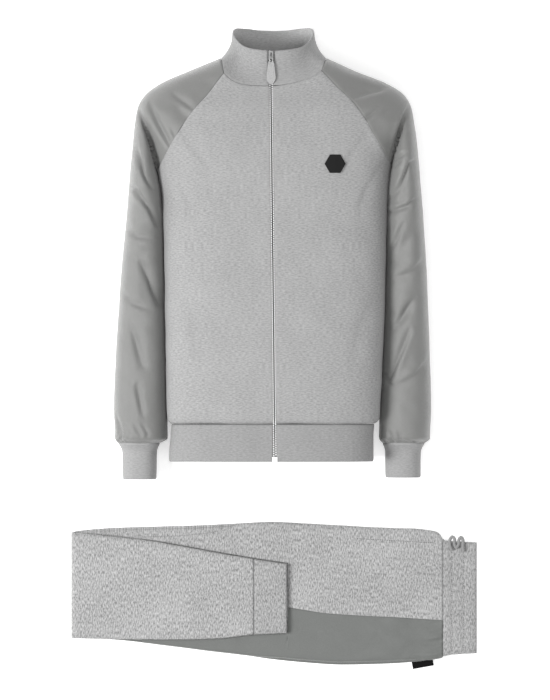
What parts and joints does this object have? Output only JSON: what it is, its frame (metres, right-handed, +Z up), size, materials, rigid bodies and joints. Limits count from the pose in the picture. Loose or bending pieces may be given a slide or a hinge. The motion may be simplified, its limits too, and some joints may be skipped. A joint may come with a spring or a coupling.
{
  "type": "tracksuit",
  "caption": "Zip-front tracksuit laid out as a set: a filled-out raglan jacket with open neck, hem and cuffs, and jogging trousers folded flat.",
  "frame": {"origin": "centre of the whole set's outline in plan, on the surface that it lies on", "axes": "+Z up from the surface, +Y from the trousers to the jacket's collar, +X to the right as the set is seen from above"},
  "size_m": [0.691, 1.0914, 0.176],
  "materials": {
    "knit": "pale grey heather jersey, matt",
    "rib": "grey heather fine rib knit, matt",
    "sleeve_nylon": "mid grey smooth woven nylon, soft sheen",
    "leg_nylon": "darker grey smooth woven nylon, soft sheen",
    "zip_tape": "grey woven zip tape",
    "zip_metal": "bright silver metal",
    "badge": "plain black patch, matt",
    "cord": "light grey braided cord",
    "label": "plain black woven tag"
  },
  "bodies": {
    "garments": {"jacket_front_left": "knit", "jacket_front_right": "knit", "jacket_back": "knit", "jacket_sleeve_left": "sleeve_nylon", "jacket_sleeve_right": "sleeve_nylon", "jacket_collar": "rib", "jacket_hem_band": "rib", "jacket_cuff_left": "rib", "jacket_cuff_right": "rib", "zip_tape_left": "zip_tape", "zip_tape_right": "zip_tape", "zip_chain": "zip_metal", "zip_box": "zip_metal", "zip_slider": "zip_metal", "chest_badge": "badge", "trousers_hidden_plies": "knit", "trousers_leg_knit": "knit", "trousers_leg_side": "leg_nylon", "trousers_folded_leg": "knit", "trousers_ankle_cuff": "rib", "trousers_waistband": "rib", "trousers_drawstring": "cord", "trousers_side_label": "label"},
    "pull_tab": {"zip_pull_tab": "zip_metal"}
  },
  "joints": [
    {"name": "pull_tab_hinge", "type": "hinge", "parent": "garments", "child": "pull_tab", "pos_m": [-0.005, 0.491, 0.14556], "axis": [-1, 0, 0], "range_deg": [0, 150]}
  ]
}
